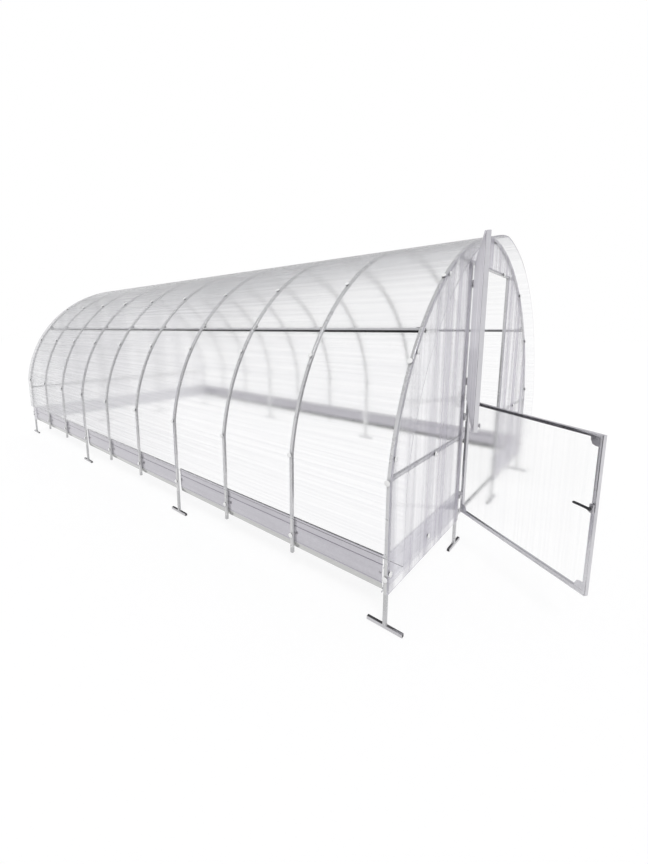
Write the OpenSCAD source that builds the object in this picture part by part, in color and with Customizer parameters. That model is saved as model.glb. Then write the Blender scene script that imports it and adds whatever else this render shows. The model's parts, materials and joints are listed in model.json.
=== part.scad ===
// Polycarbonate tunnel greenhouse with a two-leaf door in its front end wall.
// X runs across the house, Y along it with the door end at -Y, and Z up from the undersides of the feet.

/* [Tunnel frame] */
// Distance between the centres of the left and right legs
width = 3000; // [2600:10:3400]
// Distance between the centres of the first and last arch
length = 6000; // [5400:60:6600]
// Number of arches
arch_n = 10; // [7:3:13]
// Number of bays from one footed arch to the next
footed_every = 3; // [1:1:3]
// Height at which the straight leg turns into the curved rafter
eaves_h = 815; // [750:5:880]
// Height of the tube centre at the ridge
ridge_h = 2220; // [2150:5:2320]
// Angle through which each curved rafter bends between the eaves and the ridge
rafter_turn = 78.9; // [70:0.1:84]
// Outer size of the square steel tube
tube = 20; // [18:1:25]
// Wall thickness of the square steel tube
tube_wall = 1.5; // [1:0.1:2]
// Height of the lower ends of the legs that have no foot
short_leg_z = 165; // [130:5:180]
// Length of the bar across the bottom of a footed leg
foot_length = 210; // [150:5:280]

/* [Purlins and clips] */
// Height of the side purlins
purlin_h = 1560; // [1400:10:1650]
// Thickness of the steel clips
clip_t = 3; // [2:0.5:4]
// Length of each arm of a purlin clip
clip_arm = 30; // [24:1:36]
// Length of the strap under the ridge of each arch
strap_length = 90; // [60:5:120]

/* [Base boards] */
// Height of the upper edge of the base boards
board_top = 398; // [370:2:420]
// Height of a base board
board_h = 200; // [190:2:215]
// Thickness of the folded board
board_t = 1.5; // [1:0.1:2]
// Width of the folded flange along both edges of a board
board_flange = 12; // [8:1:16]
// Distance from the upper edge down to the first pressed rib
rib_1 = 55; // [40:1:70]
// Distance from the upper edge down to the second pressed rib
rib_2 = 156; // [130:1:165]
// Width of a pressed rib
rib_w = 14; // [10:1:20]
// Depth of a pressed rib
rib_d = 5; // [3:0.5:8]
// Gap between the end of a side board and the centre of a footed leg
board_gap = 30; // [20:1:45]

/* [Cover sheets] */
// Thickness of the polycarbonate sheet
sheet_t = 6; // [4:1:8]
// Overhang of the cover past the centre of the end arches
overhang = 100; // [60:5:120]
// Gap between neighbouring sheets
sheet_gap = 2; // [1:0.5:4]
// Height of the lower edge of the end wall sheets
end_sheet_z = 200; // [190:5:225]

/* [End walls] */
// Distance between the centres of the two door posts
post_spacing = 970; // [900:5:1050]
// Drop from the ridge to the tube across the end wall above the door
lintel_drop = 215; // [180:5:280]
// Height of the crossbars beside the door
crossbar_z = 825; // [790:5:870]
// Height of the crossbar in the rear wall
rear_crossbar_z = 700; // [620:5:760]
// Height of the threshold tube
threshold_z = 235; // [225:1:240]

/* [Door] */
// Gap between a leaf and the post or the lintel beside it
leaf_gap = 10; // [8:1:14]
// Height of the lower edge of the lower leaf
leaf_z = 270; // [262:1:280]
// Height of the gap between the two leaves
leaf_split_z = 1090; // [1000:5:1200]
// How far the lower leaf stands open, in degrees
lower_open = 123; // [0:1:170]
// How far the upper leaf stands open, in degrees
upper_open = 160.5; // [0:0.5:164]
// Distance from the front face of the posts to the hinge line
hinge_out = 8; // [8:0.5:12]
// Outer radius of a hinge barrel
barrel_r = 7; // [6:0.5:7]
// Radius of a hinge pin
pin_r = 3.5; // [3:0.5:4]
// Height of each half of a hinge
barrel_h = 25; // [20:1:35]
// Distance from the ends of a leaf to its hinges
hinge_inset = 120; // [80:5:160]
// Gap between a hinge and the notch in the sheet round it
arm_gap = 3; // [2:0.5:4]
// Size of the corner gussets of the leaves
gusset = 40; // [30:5:80]
// Thickness of the corner gussets of the leaves
gusset_t = 4; // [3:0.5:6]

/* [Door furniture] */
// Height of the lever handle
handle_z = 725; // [600:5:800]
// Length of the lever from the spindle to its end
lever_length = 85; // [70:5:110]
// Thickness of the lever
lever_t = 12; // [8:1:16]
// Radius of the spindle
spindle_r = 5; // [4:0.5:6]
// Height of the latch case
case_h = 44; // [34:2:70]
// Depth of the latch case
case_d = 10; // [8:1:16]
// Radius of the pull knob inside the upper leaf
knob_r = 11; // [8:1:14]
// How far the pull knob stands in from the leaf
knob_d = 10; // [8:1:16]
// Distance from the lower edge of the upper leaf to the knob
knob_up = 32; // [30:1:60]

/* [Clearances] */
// Seat between pieces that are fastened together
seat = 0.3; // [0.2:0.05:0.5]
// Running clearance around pins and the spindle
running = 0.3; // [0.2:0.05:0.4]
// Gap between the halves of a hinge
hinge_play = 1; // [0.5:0.1:2]
// Gap between the lever and the face behind it
lever_gap = 5; // [4:1:12]

/* [Hidden] */
$fn = 180;

half = tube / 2;
end_y = length / 2;
pitch = length / (arch_n - 1);
post_x = post_spacing / 2;
lintel_z = ridge_h - lintel_drop;
// How far a cut runs past the faces it goes through
past = 1;

// Centre of the right-hand rafter circle is at -rafter_cx and that of the left-hand one at +rafter_cx.
rise = ridge_h - eaves_h;
chord = sqrt(pow(width / 2, 2) + pow(rise, 2));
rafter_r = chord / 2 / sin(rafter_turn / 2);
chord_to_centre = rafter_r * cos(rafter_turn / 2);
rafter_cx = chord_to_centre * rise / chord - width / 4;
rafter_cz = eaves_h + rise / 2 - chord_to_centre * width / 2 / chord;

cover_in = half + seat;
cover_z = board_top + sheet_gap;
cover_end = end_y + overhang;
seam_y = end_y - footed_every * pitch;

board_ribs = [board_top - rib_2, board_top - rib_1];
board_z = board_top - board_h;
board_x = leg_x(-half) - seat;

purlin_r = rafter_r - tube - seat;
purlin_a = asin((purlin_h - rafter_cz) / purlin_r);

leaf_half = post_x - half - leaf_gap;
leaf_top = lintel_z - half - leaf_gap;
leaf_split = leaf_gap / 2;
axis_x = -post_x + half + leaf_gap / 2;
axis_y = -end_y - half - hinge_out;
arm_half = (leaf_gap + tube) / 2;
hinge_z = concat(
    hinge_heights(leaf_z, leaf_split_z - leaf_split),
    hinge_heights(leaf_split_z + leaf_split, leaf_top));
leaf_sheet_half = leaf_half - sheet_gap;
stile_x = leaf_half - half;
front_face_y = -end_y - half - seat - sheet_t;
inner_face_y = -end_y + half;

// The origin is the middle of the whole footprint, with the two leaves standing open.
outer_lever_y = front_face_y - seat - case_d - lever_gap - lever_t;
boss_r = lever_t * 0.75;
lower_reach_y = min(
    swung_y(leaf_half, front_face_y, inner_face_y, lower_open),
    swung_y(stile_x + boss_r, outer_lever_y, inner_face_y, lower_open));
upper_reach_y = swung_y(leaf_half, front_face_y, inner_face_y + knob_d, upper_open);
rear_reach_y = end_y + max(overhang, foot_length / 2);
shift_y = -(rear_reach_y + min(lower_reach_y, upper_reach_y, -rear_reach_y)) / 2;

steel = [0.75, 0.75, 0.76];
zinc = [0.78, 0.78, 0.8];
clear = [0.86, 0.87, 0.9, 0.5];
dark = [0.25, 0.25, 0.26];

// Foremost Y of a block on a leaf that reaches out to x and from y0 to y1 when the leaf is closed
function swung_y(x, y0, y1, angle) =
    axis_y - (x - axis_x) * sin(angle) + min((y0 - axis_y) * cos(angle), (y1 - axis_y) * cos(angle));
function arch_y(i) = -end_y + i * pitch;
function is_footed(i) = i % footed_every == 0;
function leg_x(grow) = sqrt(pow(rafter_r + grow, 2) - pow(eaves_h - rafter_cz, 2)) - rafter_cx;

// Filled outline of the tunnel, set out by grow from the centre line of the tubes, down to bottom_z
module tunnel_area(grow, bottom_z) {
    translate([-leg_x(grow), bottom_z])
        square([2 * leg_x(grow), eaves_h - bottom_z]);
    both_sides()
        intersection() {
            translate([rafter_cx, rafter_cz])
                circle(r = rafter_r + grow);
            translate([-width, eaves_h])
                square([width, ridge_h]);
        }
}

module tunnel_band(inner, outer, bottom_z) {
    difference() {
        tunnel_area(outer, bottom_z);
        tunnel_area(inner, bottom_z - tube);
    }
}

// Extrudes an outline drawn in X and Z along Y, from y0 to y1
module along_y(y0, y1) {
    translate([0, y1, 0])
        rotate([90, 0, 0])
            linear_extrude(y1 - y0)
                children();
}

// Hollow square tube from the origin along Z
module post_tube(l) {
    translate([-half, -half, 0])
        difference() {
            cube([tube, tube, l]);
            translate([tube_wall, tube_wall, -past])
                cube([tube - 2 * tube_wall, tube - 2 * tube_wall, l + 2 * past]);
        }
}

module tube_x(x0, x1, y, z) {
    translate([x0, y, z])
        rotate([0, 90, 0])
            post_tube(x1 - x0);
}

module tube_y(x, y0, y1, z) {
    translate([x, y1, z])
        rotate([90, 0, 0])
            post_tube(y1 - y0);
}

module tube_z(x, y, z0, z1) {
    translate([x, y, z0])
        post_tube(z1 - z0);
}

module both_sides() {
    children();
    mirror([1, 0, 0])
        children();
}

// Each arch is a bent square tube, open at the lower ends of its legs
module arch(i) {
    bottom_z = is_footed(i) ? tube : short_leg_z;
    color(steel)
        difference() {
            along_y(arch_y(i) - half, arch_y(i) + half)
                tunnel_band(-half, half, bottom_z);
            along_y(arch_y(i) - half + tube_wall, arch_y(i) + half - tube_wall)
                tunnel_band(-half + tube_wall, half - tube_wall, bottom_z - past);
        }
}

// Moves to the centre of the left purlin, with +X pointing inwards along the rafter radius
module at_purlin() {
    translate([rafter_cx, 0, rafter_cz])
        rotate([0, purlin_a, 0])
            translate([-purlin_r, 0, 0])
                children();
}

module purlin() {
    color(steel)
        at_purlin()
            tube_y(0, -end_y - half, end_y + half, 0);
}

// One arm lies on the purlin and the other stands against the side of the arch
module purlin_clip() {
    translate([-half, half, half])
        cube([tube, clip_arm, clip_t]);
    translate([-tube, half, half])
        cube([tube + half, clip_t, clip_arm]);
}

module purlin_clips() {
    color(dark)
        both_sides()
            at_purlin()
                for (i = [0 : arch_n - 1])
                    translate([0, arch_y(i), 0])
                        mirror([0, i == arch_n - 1 ? 1 : 0, 0])
                            purlin_clip();
}

module ridge_straps() {
    color(dark)
        for (i = [0 : arch_n - 1])
            along_y(arch_y(i) - half, arch_y(i) + half)
                intersection() {
                    tunnel_band(-half - seat - clip_t, -half - seat, eaves_h - tube);
                    translate([-strap_length / 2, eaves_h])
                        square([strap_length, ridge_h]);
                }
}

// Section of a folded board: the face is at x = 0 and the ribs and flanges point to +X
module board_section() {
    front = [for (z = board_ribs) each [[0, z - rib_w / 2], [rib_d, z], [0, z + rib_w / 2]]];
    back = [for (i = [len(front) - 1 : -1 : 0]) front[i] + [board_t, 0]];
    polygon(concat(
        [[board_flange, board_z], [0, board_z]],
        front,
        [[0, board_top], [board_flange, board_top], [board_flange, board_top - board_t],
            [board_t, board_top - board_t]],
        back,
        [[board_t, board_z + board_t], [board_flange, board_z + board_t]]));
}

module side_boards() {
    color(zinc)
        for (i = [0 : footed_every : arch_n - 2])
            along_y(arch_y(i) + board_gap, arch_y(i + footed_every) - board_gap)
                translate([-board_x, 0])
                    board_section();
}

// Board across an end wall, against the inner faces of the tubes of the front wall
module end_board(x0, x1) {
    color(zinc)
        translate([x0, inner_face_y, 0])
            rotate([90, 0, 90])
                linear_extrude(x1 - x0)
                    board_section();
}

module rear_board() {
    mirror([0, 1, 0])
        end_board(-board_x - tube, board_x + tube);
}

module ground_feet() {
    color(steel)
        for (i = [0 : footed_every : arch_n - 1])
            tube_y(-width / 2, arch_y(i) - foot_length / 2, arch_y(i) + foot_length / 2, half);
}

module post_ground_feet() {
    color(steel)
        both_sides()
            for (y = [-end_y, end_y])
                tube_x(post_x - foot_length / 2, post_x + foot_length / 2, y, half);
}

module end_post(y) {
    color(steel)
        tube_z(post_x, y, tube, lintel_z - half);
}

// Keeps what lies inside the arch, with a seat
module inside_arch() {
    intersection() {
        children();
        along_y(-end_y - tube, end_y + tube)
            tunnel_area(-half - seat, 0);
    }
}

module lintel(y) {
    color(steel)
        inside_arch()
            tube_x(-width / 2, width / 2, y, lintel_z);
}

module front_crossbars() {
    color(steel)
        both_sides()
            inside_arch()
                tube_x(-width / 2, -post_x - half, -end_y, crossbar_z);
}

module rear_crossbar() {
    color(steel)
        inside_arch() {
            tube_x(-width / 2, -post_x - half, end_y, rear_crossbar_z);
            tube_x(-post_x + half, post_x - half, end_y, rear_crossbar_z);
            tube_x(post_x + half, width / 2, end_y, rear_crossbar_z);
        }
}

module door_threshold() {
    color(steel)
        tube_x(-post_x + half, post_x - half, -end_y, threshold_z);
}

module cover(y0, y1) {
    color(clear)
        along_y(y0, y1)
            tunnel_band(cover_in, cover_in + sheet_t, cover_z);
}

module middle_cover() {
    cover(-seam_y + sheet_gap / 2, seam_y - sheet_gap / 2);
}

// Part of an end wall sheet between x0 and x1 and above z0, standing from y0 to y0 + sheet_t
module end_sheet(x0, x1, z0, y0) {
    color(clear)
        along_y(y0, y0 + sheet_t)
            intersection() {
                tunnel_area(half, end_sheet_z);
                translate([x0, z0])
                    square([x1 - x0, ridge_h]);
            }
}

module front_side_sheet(x0, x1) {
    end_sheet(x0, x1, end_sheet_z, front_face_y);
}

module front_left_sheet() {
    difference() {
        front_side_sheet(-width, -post_x + half);
        hinge_notches();
    }
}

module front_transom_sheet() {
    transom_x = post_x - half - sheet_gap;
    end_sheet(-transom_x, transom_x, lintel_z, front_face_y);
}

module rear_end_sheets() {
    end_sheet(-width, -post_x - sheet_gap / 2, end_sheet_z, end_y + half + seat);
    end_sheet(-post_x + sheet_gap / 2, post_x - sheet_gap / 2, end_sheet_z, end_y + half + seat);
    end_sheet(post_x + sheet_gap / 2, width, end_sheet_z, end_y + half + seat);
}

// Turns a closed leaf about the hinge line so that it stands open
module stand_open(angle) {
    translate([axis_x, axis_y, 0])
        rotate([0, 0, -angle])
            translate([-axis_x, -axis_y, 0])
                children();
}

function hinge_heights(z0, z1) = [z0 + hinge_inset, z1 - hinge_inset];

// Fixed half of a lift-off hinge: an arm on the post, a barrel and the pin that stands up from it
module hinge_pin(z) {
    translate([axis_x - arm_half, axis_y, z - barrel_h])
        cube([arm_half, hinge_out, barrel_h - hinge_play / 2]);
    translate([axis_x, axis_y, z - barrel_h]) {
        cylinder(r = barrel_r, h = barrel_h - hinge_play / 2);
        cylinder(r = pin_r, h = 2 * barrel_h - hinge_play);
    }
}

// Half of a hinge on the leaf: an arm and a barrel that turns on the pin
module hinge_barrel(z) {
    difference() {
        union() {
            translate([axis_x, axis_y, z + hinge_play / 2])
                cube([arm_half, hinge_out, barrel_h - hinge_play / 2]);
            translate([axis_x, axis_y, z + hinge_play / 2])
                cylinder(r = barrel_r, h = barrel_h - hinge_play / 2);
        }
        translate([axis_x, axis_y, z - barrel_h])
            cylinder(r = pin_r + running, h = 3 * barrel_h);
    }
}

module door_hinge_pins() {
    color(steel)
        for (z = hinge_z)
            hinge_pin(z);
}

// Notches that keep the sheets of the wall and of the closed leaves clear of the hinges
module hinge_notches() {
    for (z = hinge_z)
        translate([axis_x - arm_half - arm_gap, front_face_y - past, z - barrel_h - arm_gap])
            cube([2 * (arm_half + arm_gap), sheet_t + 2 * past, 2 * (barrel_h + arm_gap)]);
}

// Welded frame of a leaf: two stiles, two rails between them, four gussets and two hinge barrels
module leaf_frame(z0, z1) {
    difference() {
        union() {
            tube_z(-stile_x, -end_y, z0, z1);
            tube_z(stile_x, -end_y, z0, z1);
            tube_x(-stile_x + half, stile_x - half, -end_y, z0 + half);
            tube_x(-stile_x + half, stile_x - half, -end_y, z1 - half);
            both_sides() {
                translate([-stile_x + half, 0, z0 + tube])
                    gusset_corner();
                translate([-stile_x + half, 0, z1 - tube])
                    mirror([0, 0, 1])
                        gusset_corner();
            }
        }
        children();
    }
    for (z = hinge_heights(z0, z1))
        hinge_barrel(z);
}

// Quarter-round plate that fills the corner between the faces of the stile and the rail
module gusset_corner() {
    intersection() {
        translate([0, -end_y + gusset_t / 2, 0])
            rotate([90, 0, 0])
                cylinder(r = gusset, h = gusset_t);
        translate([0, -end_y - tube, 0])
            cube([gusset, 2 * tube, gusset]);
    }
}

module leaf_sheet(z0, z1) {
    difference() {
        translate([-leaf_sheet_half, front_face_y, z0])
            cube([2 * leaf_sheet_half, sheet_t, z1 - z0]);
        hinge_notches();
    }
}

module spindle_bore(r) {
    translate([stile_x, -end_y + tube, handle_z])
        rotate([90, 0, 0])
            cylinder(r = r, h = 4 * tube);
}

module lower_leaf_frame() {
    color(steel)
        stand_open(lower_open)
            leaf_frame(leaf_z, leaf_split_z - leaf_split)
                spindle_bore(spindle_r + running);
}

module lower_leaf_sheet() {
    color(clear)
        stand_open(lower_open)
            difference() {
                leaf_sheet(leaf_z, leaf_split_z - leaf_split);
                spindle_bore(spindle_r + running);
            }
}

// Latch case on the face of the stile, with the spindle through it
module latch_case() {
    color(dark)
        stand_open(lower_open)
            difference() {
                translate([stile_x - half, front_face_y - seat - case_d, handle_z - case_h / 2])
                    cube([tube, case_d, case_h]);
                spindle_bore(spindle_r + running);
            }
}

// Lever on the outer face of the leaf, with the spindle that runs back through the stile
module lever_handle() {
    color(dark)
        stand_open(lower_open) {
            translate([stile_x, inner_face_y, handle_z])
                rotate([90, 0, 0])
                    cylinder(r = spindle_r, h = inner_face_y - outer_lever_y);
            translate([stile_x, outer_lever_y + lever_t, handle_z])
                rotate([90, 0, 0])
                    cylinder(r = boss_r, h = lever_t);
            translate([stile_x - lever_length, outer_lever_y, handle_z - lever_t / 2])
                cube([lever_length, lever_t, lever_t]);
        }
}

module upper_leaf_frame() {
    color(steel)
        stand_open(upper_open)
            leaf_frame(leaf_split_z + leaf_split, leaf_top);
}

module upper_leaf_sheet() {
    color(clear)
        stand_open(upper_open)
            leaf_sheet(leaf_split_z + leaf_split, leaf_top);
}

module pull_knob() {
    color(dark)
        stand_open(upper_open)
            translate([stile_x, inner_face_y, leaf_split_z + leaf_split + knob_up])
                rotate([-90, 0, 0]) {
                    cylinder(r = knob_r / 2, h = knob_d);
                    translate([0, 0, knob_d / 2])
                        cylinder(r = knob_r, h = knob_d / 2);
                }
}

module placed() {
    translate([0, shift_y, 0])
        children();
}

placed() arch(0);  // arch_1
placed() arch(1);  // arch_2
placed() arch(2);  // arch_3
placed() arch(3);  // arch_4
placed() arch(4);  // arch_5
placed() arch(5);  // arch_6
placed() arch(6);  // arch_7
placed() arch(7);  // arch_8
placed() arch(8);  // arch_9
placed() arch(9);  // arch_10
placed() purlin();  // left_purlin
placed() mirror([1, 0, 0]) purlin();  // right_purlin
placed() purlin_clips();
placed() ridge_straps();
placed() side_boards();  // left_base_boards
placed() mirror([1, 0, 0]) side_boards();  // right_base_boards
placed() end_board(-board_x - tube, -post_x + half);  // front_left_base_board
placed() end_board(post_x - half, board_x + tube);  // front_right_base_board
placed() rear_board();  // rear_base_board
placed() ground_feet();  // left_ground_feet
placed() mirror([1, 0, 0]) ground_feet();  // right_ground_feet
placed() post_ground_feet();
placed() mirror([1, 0, 0]) end_post(-end_y);  // front_left_post
placed() end_post(-end_y);  // front_right_post
placed() lintel(-end_y);  // front_lintel
placed() front_crossbars();
placed() door_threshold();
placed() both_sides() end_post(end_y);  // rear_posts
placed() lintel(end_y);  // rear_lintel
placed() rear_crossbar();
placed() cover(-cover_end, -seam_y - sheet_gap / 2);  // front_cover
placed() middle_cover();
placed() cover(seam_y + sheet_gap / 2, cover_end);  // rear_cover
placed() front_left_sheet();
placed() front_side_sheet(post_x - half, width);  // front_right_sheet
placed() front_transom_sheet();
placed() rear_end_sheets();
placed() door_hinge_pins();
placed() lower_leaf_frame();
placed() lower_leaf_sheet();
placed() latch_case();
placed() lever_handle();
placed() upper_leaf_frame();
placed() upper_leaf_sheet();
placed() pull_knob();
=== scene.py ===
import json
from math import asin, cos, pi, radians, sin, sqrt
import bpy
import numpy as np
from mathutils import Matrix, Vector


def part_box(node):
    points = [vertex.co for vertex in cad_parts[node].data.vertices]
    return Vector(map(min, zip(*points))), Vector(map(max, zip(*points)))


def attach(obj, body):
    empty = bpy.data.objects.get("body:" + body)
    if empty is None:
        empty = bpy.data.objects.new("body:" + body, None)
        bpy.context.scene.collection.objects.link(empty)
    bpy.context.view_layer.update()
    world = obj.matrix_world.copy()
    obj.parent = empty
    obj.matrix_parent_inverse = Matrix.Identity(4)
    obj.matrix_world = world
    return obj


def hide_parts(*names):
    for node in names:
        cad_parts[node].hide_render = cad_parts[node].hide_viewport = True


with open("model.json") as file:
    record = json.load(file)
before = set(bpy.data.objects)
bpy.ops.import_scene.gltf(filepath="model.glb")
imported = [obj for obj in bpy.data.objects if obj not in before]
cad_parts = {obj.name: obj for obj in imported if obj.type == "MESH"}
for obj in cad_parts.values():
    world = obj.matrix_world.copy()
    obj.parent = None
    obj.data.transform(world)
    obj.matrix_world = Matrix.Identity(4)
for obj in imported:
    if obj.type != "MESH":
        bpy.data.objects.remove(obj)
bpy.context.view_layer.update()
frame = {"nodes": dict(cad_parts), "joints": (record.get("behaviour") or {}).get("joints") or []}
print("frame loaded:", len(frame["nodes"]), "nodes")

# Setting out of the tunnel, in metres and degrees; seat is the air between pieces that lie on each other
house = {"eaves": 0.815, "ridge": 2.220, "halfWidth": 1.5, "turn": 78.9, "tube": 0.020, "wall": 0.0015,
         "corner": 0.0024, "innerCorner": 0.0012, "sheet": 0.006, "seat": 0.0003, "crossbar": 0.825,
         "footedEvery": 3}
squareCorners = np.array([[1, 1], [-1, 1], [-1, -1], [1, -1]])
axisHole = 0.0002  # a turned profile stops this far from its axis, so that no face has zero width
roundSteps = 24  # faces round a barrel, a boss or a knob


def boxOf(node):
    low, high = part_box(node)
    return np.array(low), np.array(high)


def middle(node):
    low, high = boxOf(node)
    return (low + high) / 2


archYs = np.array([middle("arch_%d" % i)[1] for i in range(1, 11)])
frontY, rearY = archYs[0], archYs[-1]
half = house["tube"] / 2
rise = house["ridge"] - house["eaves"]
chord = sqrt(house["halfWidth"] ** 2 + rise ** 2)
rafterR = chord / 2 / sin(radians(house["turn"] / 2))
toCentre = rafterR * cos(radians(house["turn"] / 2))
rafterX = toCentre * rise / chord - house["halfWidth"] / 2
rafterZ = house["eaves"] + rise / 2 - toCentre * house["halfWidth"] / chord
legSide = middle("left_ground_feet")[0]
eavesAngle = asin((house["eaves"] - rafterZ) / rafterR)
ridgeAngle = pi / 2 - asin(rafterX / rafterR)
hinge = next(joint for joint in frame["joints"] if joint["name"] == "lower_leaf_swing")
hingeSpot = np.array([*hinge["pos_m"][:2], 0.0])
opens = {joint["child"]: joint["range_deg"][1] for joint in frame["joints"]}  # a leaf shuts at its top limit


def tunnelX(z, grow):
    # Half width of the tunnel at height z, grow outside its centre line: the rafter's circle solved for x,
    # and upright below the eaves
    z = np.maximum(z, house["eaves"])
    return np.sqrt((rafterR + grow) ** 2 - (z - rafterZ) ** 2) - rafterX


def rafterPoint(angle, grow):
    # Point on the left rafter: its circle's centre plus radius times cosine and sine of the angle above level
    reach = rafterR + grow
    return np.stack([rafterX - reach * np.cos(angle), rafterZ + reach * np.sin(angle)], -1)


def gridFaces(rows, columns, wrapRows, wrapColumns):
    # One quad for each cell of a grid of points, joined round where it wraps
    r = np.arange(rows if wrapRows else rows - 1)[:, None]
    c = np.arange(columns if wrapColumns else columns - 1)[None, :]
    r2, c2 = (r + 1) % rows, (c + 1) % columns
    quads = np.stack([r * columns + c, r * columns + c2, r2 * columns + c2, r2 * columns + c], -1)
    return quads.reshape(-1, 4)


def turnedOut(points, faces):
    # The tetrahedra from the middle to each face add up to the volume: below nought, the faces are reversed
    a, b, c, d = (points[faces[:, k]] - points.mean(0) for k in range(4))
    volume = (np.cross(a, b) * c).sum() + (np.cross(a, c) * d).sum()
    return faces[:, ::-1] if volume < 0 else faces


def closedGrid(rows):
    # Rings of points, the last one joined to the first, as one skin that faces outwards
    points = rows.reshape(-1, 3)
    return points, turnedOut(points, gridFaces(*rows.shape[:2], True, True))


def placed(data):
    made = bpy.data.objects.new(data.name, data)
    bpy.context.scene.collection.objects.link(made)
    return made


def newMesh(name, points, faces, material):
    mesh = bpy.data.meshes.new(name)
    mesh.from_pydata(points, [], faces)
    mesh.materials.append(material)
    return mesh


def putPiece(name, shapes, material, body="greenhouse", replaces=(), sharp=34):
    # Puts a list of (points, faces) into one mesh at the origin, riding on its body
    starts = np.cumsum([0] + [len(points) for points, faces in shapes[:-1]])
    points = np.concatenate([points for points, faces in shapes])
    quads = np.concatenate([shape[1] + start for shape, start in zip(shapes, starts)])
    mesh = newMesh(name, points.tolist(), quads.tolist(), material)
    mesh.polygons.foreach_set("use_smooth", np.ones(len(mesh.polygons), bool))
    mesh.set_sharp_from_angle(angle=radians(sharp))
    mesh.update()
    piece = placed(mesh)
    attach(piece, body)
    if replaces:
        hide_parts(*replaces)
    return piece


def roundedSquare(size, radius, steps=4):
    # Square with its corners turned as quarter circles: each corner's centre plus radius times the cosine
    # and sine of the turn
    turn = np.arange(4)[:, None] * pi / 2 + np.linspace(0, pi / 2, steps)[None, :]
    corner = squareCorners * (size / 2 - radius)
    ring = corner[:, None, :] + radius * np.stack([np.cos(turn), np.sin(turn)], -1)
    return ring.reshape(-1, 2)


def unit(vectors):
    return vectors / np.linalg.norm(vectors, axis=1)[:, None]


def mitred(path, before, after, side, ring, scale=1.0):
    # Sets a ring at each point of a path: across is the mean direction crossed with side, lengthened at a
    # bend so that the walls meet in a mitre
    tangent = unit(before + after)
    across = np.cross(tangent, side) / (tangent * before).sum(1)[:, None]
    return path[:, None, :] + scale * (ring[None, :, :1] * across[:, None, :] + ring[None, :, 1:] * side)


def stepsAt(path):
    # Unit steps before and after each point of an open path
    step = unit(np.diff(path, axis=0))
    return np.concatenate([step[:1], step]), np.concatenate([step, step[-1:]])


def carried(path, side, ring):
    # Carries a ring along an open path
    side = np.array(side) / np.linalg.norm(side)
    return mitred(path, *stepsAt(path), side, ring)


def hollowTube(path, side, cut=None):
    # Outer skin forwards and inner skin backwards in one closed grid, so the open ends show the wall
    inside = house["tube"] - 2 * house["wall"]
    outer = carried(path, side, roundedSquare(house["tube"], house["corner"]))
    inner = carried(path, side, roundedSquare(inside, house["innerCorner"]))
    rows = np.concatenate([outer, inner[::-1]])
    return closedGrid(rows if cut is None else cut(rows))


def straight(start, end, side, cut=None, points=2):
    # Tube from start to end, through evenly spaced points
    return hollowTube(np.linspace(start, end, points), side, cut)


def loopTube(corners, side, ring, swell=None):
    # Closed ring of tube: at each corner the section leans halfway between the two sides that meet,
    # and swell makes it thicker or thinner from corner to corner
    corners = np.array(corners)
    before = unit(corners - np.roll(corners, 1, 0))
    scale = 1.0 if swell is None else swell[:, None, None]
    return closedGrid(mitred(corners, before, np.roll(before, -1, 0), side, ring, scale))


def lathe(profile, steps):
    # A profile of radius and height that closes on itself, turned about Z
    angle = np.linspace(0, 2 * pi, steps, endpoint=False)[:, None]
    radius, height = np.array(profile).T
    return closedGrid(np.stack([radius * np.cos(angle), radius * np.sin(angle),
                                np.broadcast_to(height, (steps, len(height)))], -1))


def scattered(shape, origins, outs, up):
    # Copies of a shape, its Z turned to each out direction and its X towards up
    points, faces = shape
    origins, outs, up = np.array(origins), unit(np.array(outs)), np.array(up)
    ups = unit(up - (up * outs).sum(1)[:, None] * outs)
    copies = origins[:, None, :] + points @ np.stack([ups, np.cross(outs, ups), outs], 1)
    allFaces = faces[None] + (np.arange(len(origins)) * len(points))[:, None, None]
    return copies.reshape(-1, 3), allFaces.reshape(-1, faces.shape[1])


def block(low, high, edge=0.0006):
    # Plate with chamfered edges: an eight-sided outline carried up in four levels, drawn in at both ends
    low, high = np.array(low), np.array(high)
    size, centre = high - low, (low + high) / 2
    corner = np.repeat(squareCorners, 2, 0)
    inward = np.array([[0, 1], [1, 0], [1, 0], [0, 1]] * 2)
    ring = corner * (size[:2] / 2 - edge * inward)
    drawn = np.array([edge, 0, 0, edge])[:, None, None]
    height = np.array([0, edge, size[2] - edge, size[2]])[:, None, None]
    rows = np.concatenate([ring[None] - corner[None] * drawn + centre[:2],
                           np.broadcast_to(low[2] + height, (4, 8, 1))], -1)
    ends = np.array([[*centre[:2], low[2]], [*centre[:2], high[2]]])
    k = np.arange(0, 8, 2)
    capLow = np.stack([np.full(4, 32), (k + 2) % 8, (k + 1) % 8, k], -1)
    capHigh = np.stack([np.full(4, 33), 24 + k, 24 + (k + 1) % 8, 24 + (k + 2) % 8], -1)
    points = np.concatenate([rows.reshape(-1, 3), ends])
    return points, turnedOut(points, np.concatenate([gridFaces(4, 8, False, True), capLow, capHigh]))


def linear(code):
    # sRGB hex to linear: divided by 12.92 near black, else the 2.4 power
    value = np.array([int(code[k:k + 2], 16) for k in (0, 2, 4)]) / 255
    value = np.where(value <= 0.04045, value / 12.92, ((value + 0.055) / 1.055) ** 2.4)
    return (*value.tolist(), 1.0)


def setStops(elements, stops):
    # Gives a colour ramp its (place, hex) stops
    while len(elements) < len(stops):
        elements.new(0.5)
    for element, (place, code) in zip(elements, stops):
        element.position = place
        element.color = linear(code)


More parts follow.
